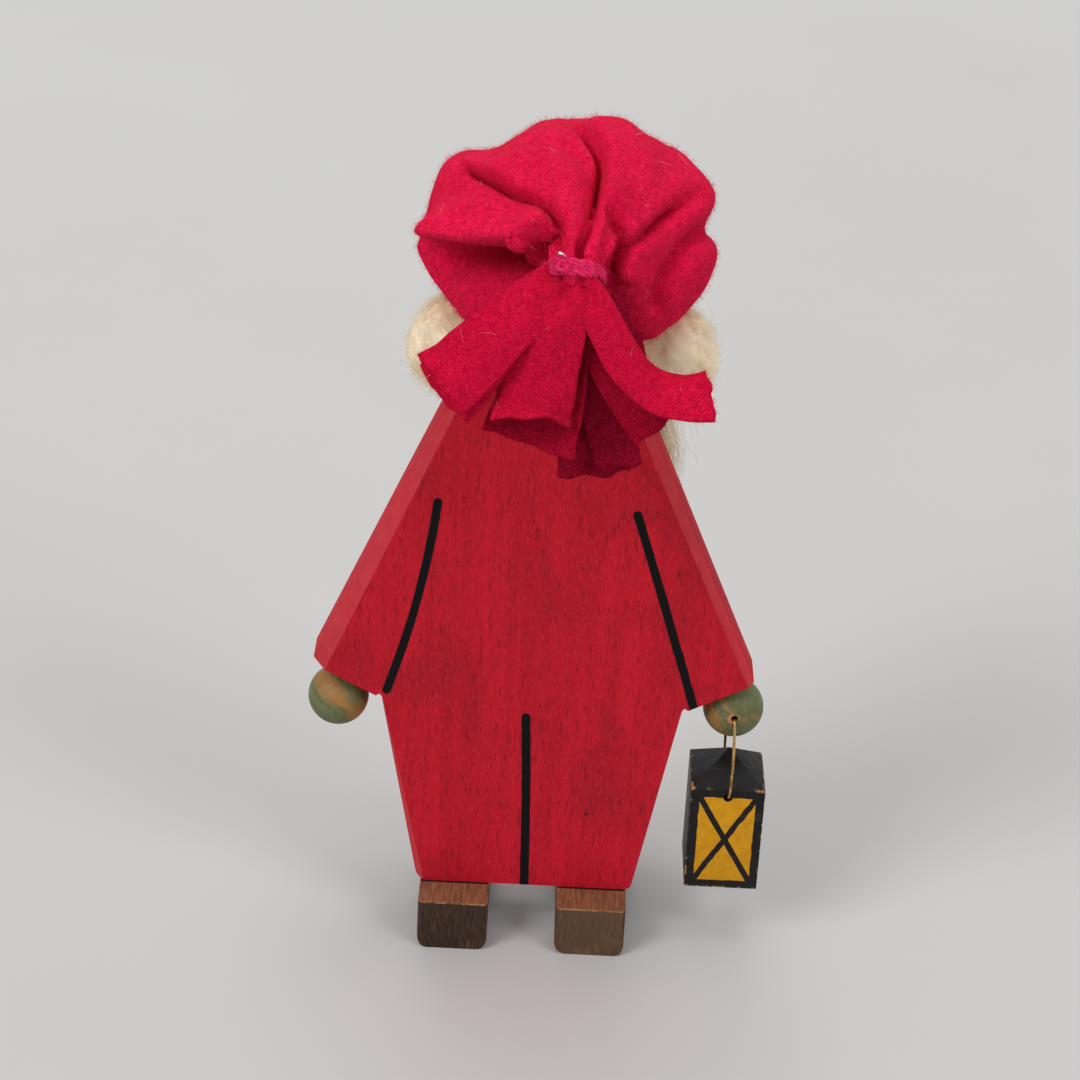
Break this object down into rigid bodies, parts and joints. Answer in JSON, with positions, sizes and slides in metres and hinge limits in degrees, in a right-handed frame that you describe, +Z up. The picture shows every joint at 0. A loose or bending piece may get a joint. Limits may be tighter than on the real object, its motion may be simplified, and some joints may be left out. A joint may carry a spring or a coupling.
{
  "type": "tomte gnome figurine",
  "caption": "Free-standing board-cut wooden tomte with ball head, felt cap with a tied tail, wool beard, block feet, ball hands and a wire-hung block lantern that swings.",
  "frame": {"origin": "on the floor, under the middle of the figure's bounding box", "axes": "+Z up, the figure looks towards -Y, its right hand with the lantern is at -X"},
  "size_m": [0.153, 0.0974, 0.2864],
  "materials": {
    "stained_wood": "red wood stain, matt, with painted black lines",
    "bare_wood": "plain turned birch",
    "face_wood": "turned ball in a thin skin-coloured stain with painted eyes",
    "shoe_wood": "dark brown stain, worn on the ends",
    "hand_paint": "worn green paint on a turned ball",
    "lantern_paint": "black paint with yellow windows, chipped at the edges",
    "brass": "drawn wire",
    "steel": "bright pin",
    "felt": "napped wool felt",
    "yarn": "soft twisted yarn",
    "wool": "loose carded sheep wool"
  },
  "bodies": {
    "root": {"body_board": "stained_wood", "neck_dowel": "bare_wood", "foot_left": "shoe_wood", "foot_right": "shoe_wood", "foot_dowel_left": "bare_wood", "foot_dowel_right": "bare_wood", "hand_left": "hand_paint", "hand_right": "hand_paint", "hand_peg_left": "bare_wood", "hand_peg_right": "bare_wood", "head": "face_wood", "nose": "face_wood", "beard": "wool", "hair_left": "wool", "hair_right": "wool", "cap": "felt", "cap_tie": "yarn", "cap_pin": "steel", "tail_strip_1": "felt", "tail_strip_2": "felt", "tail_strip_3": "felt", "tail_strip_4": "felt", "tail_strip_5": "felt", "tail_strip_6": "felt", "tail_strip_7": "felt", "tail_strip_8": "felt", "tail_strip_9": "felt"},
    "wire": {"lantern_wire": "brass"},
    "lantern": {"lantern": "lantern_paint"}
  },
  "joints": [
    {"name": "wire_swing", "type": "hinge", "parent": "root", "child": "wire", "pos_m": [-0.06421, -0.00887, 0.08773], "axis": [0, 1, 0], "range_deg": [-6, 60]},
    {"name": "lantern_swing", "type": "hinge", "parent": "wire", "child": "lantern", "pos_m": [-0.06421, -0.00887, 0.05983], "axis": [0, -1, 0], "range_deg": [-30, 14]}
  ]
}
